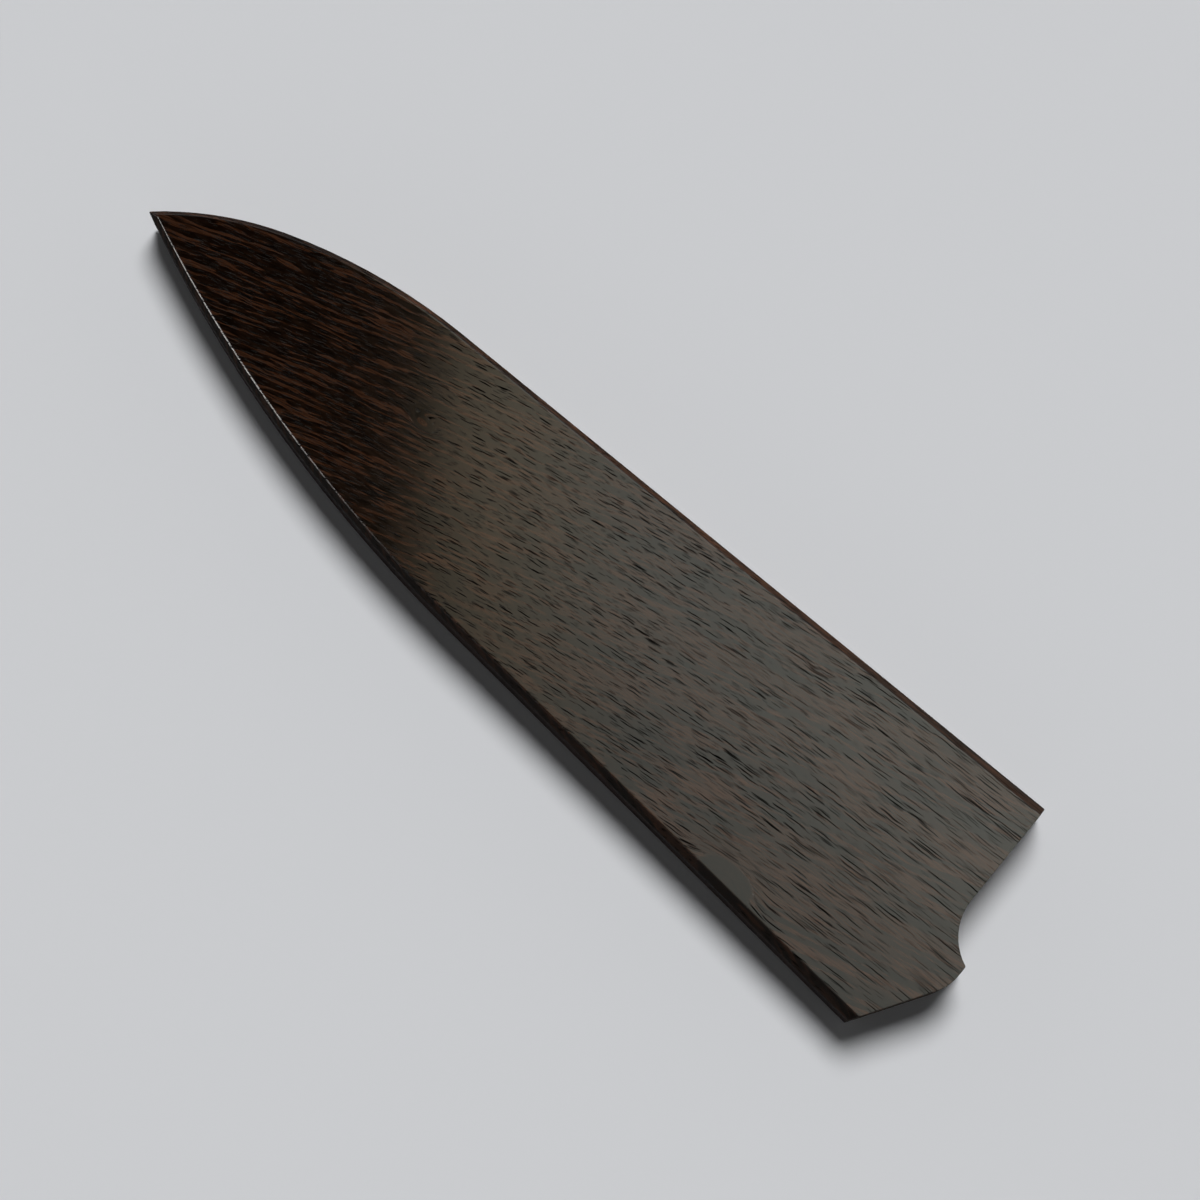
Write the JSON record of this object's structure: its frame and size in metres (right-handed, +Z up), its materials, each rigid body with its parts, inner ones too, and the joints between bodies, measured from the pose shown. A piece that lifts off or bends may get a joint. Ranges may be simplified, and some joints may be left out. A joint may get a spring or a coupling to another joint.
{
  "type": "knife blade guard",
  "caption": "Flat wooden sheath for a chef's knife: dark, open-grained cheeks with chamfered sides, a pointed tip and an S-shaped mouth that covers the heel.",
  "frame": {"origin": "on the surface the sheath lies on, under the middle of its length and of its width", "axes": "+X along the case towards the mouth, +Y towards the spine, +Z up, from the back cheek to the front cheek"},
  "size_m": [0.23, 0.0585, 0.0126],
  "materials": {
    "cheek_wood": "oiled, satin",
    "spacer_wood": "oiled, satin",
    "plug_wood": "sanded, bare",
    "magnet_plating": "nickel plated"
  },
  "bodies": {
    "root": {"front_cheek": "cheek_wood", "back_cheek": "cheek_wood", "spine_spacer": "spacer_wood", "edge_spacer": "spacer_wood", "front_magnet_1": "magnet_plating", "front_magnet_2": "magnet_plating", "front_magnet_3": "magnet_plating", "front_plug_1": "plug_wood", "front_plug_2": "plug_wood", "front_plug_3": "plug_wood", "back_magnet_1": "magnet_plating", "back_magnet_2": "magnet_plating", "back_magnet_3": "magnet_plating", "back_plug_1": "plug_wood", "back_plug_2": "plug_wood", "back_plug_3": "plug_wood"}
  },
  "joints": []
}
